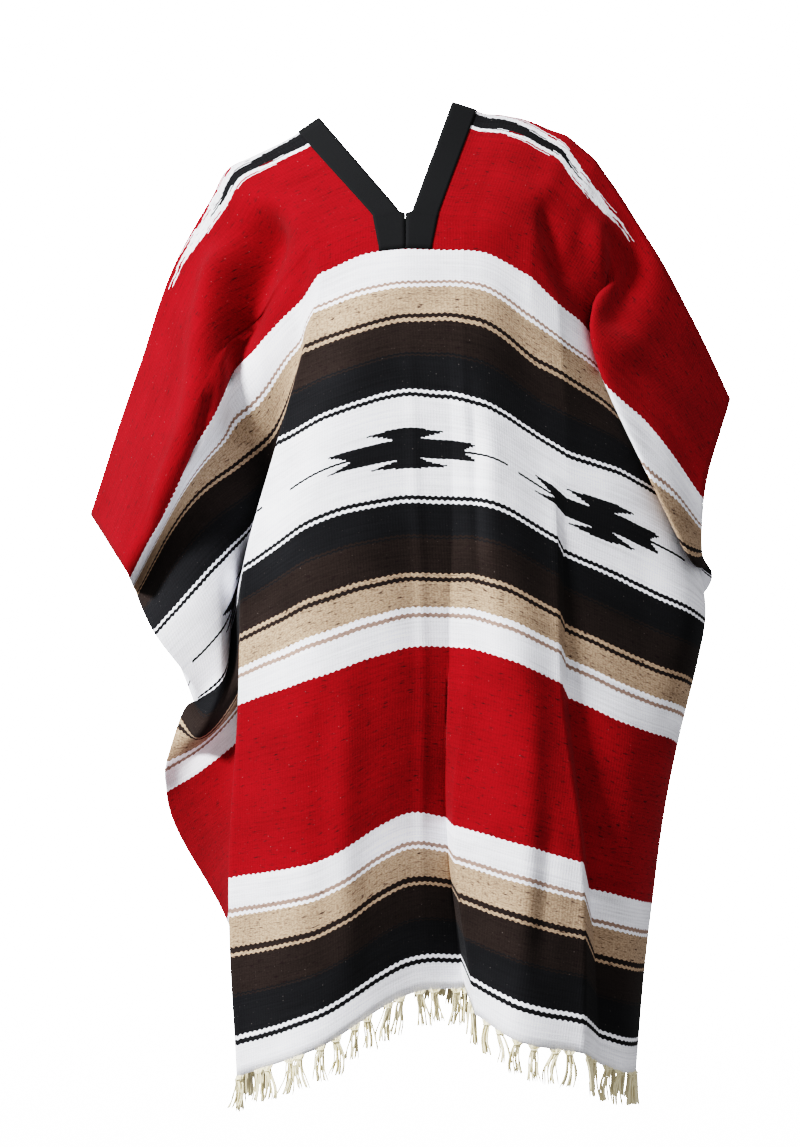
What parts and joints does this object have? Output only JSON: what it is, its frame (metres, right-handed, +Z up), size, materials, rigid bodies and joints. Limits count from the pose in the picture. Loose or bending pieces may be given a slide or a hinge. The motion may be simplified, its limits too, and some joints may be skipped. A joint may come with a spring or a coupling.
{
  "type": "poncho",
  "caption": "Striped handwoven poncho worn open over the shoulders, hollow, with a bound V neck, open sides and knotted fringe at both hems.",
  "frame": {"origin": "between the wearer's shoulders, at the height of the shoulder line, in the middle of the open neck", "axes": "+Z up, -Y the way the front faces, +X to the right as the front is seen"},
  "size_m": [0.7499, 0.3575, 1.1726],
  "materials": {
    "striped_cloth": "matt handwoven cloth, red with white, tan, brown and black stripes",
    "black_band": "matt black binding",
    "cream_yarn": "matt cream warp yarn"
  },
  "bodies": {
    "root": {"cloth": "striped_cloth", "neck_band_left": "black_band", "neck_band_right": "black_band", "fringe_front": "cream_yarn", "fringe_back": "cream_yarn"}
  },
  "joints": []
}
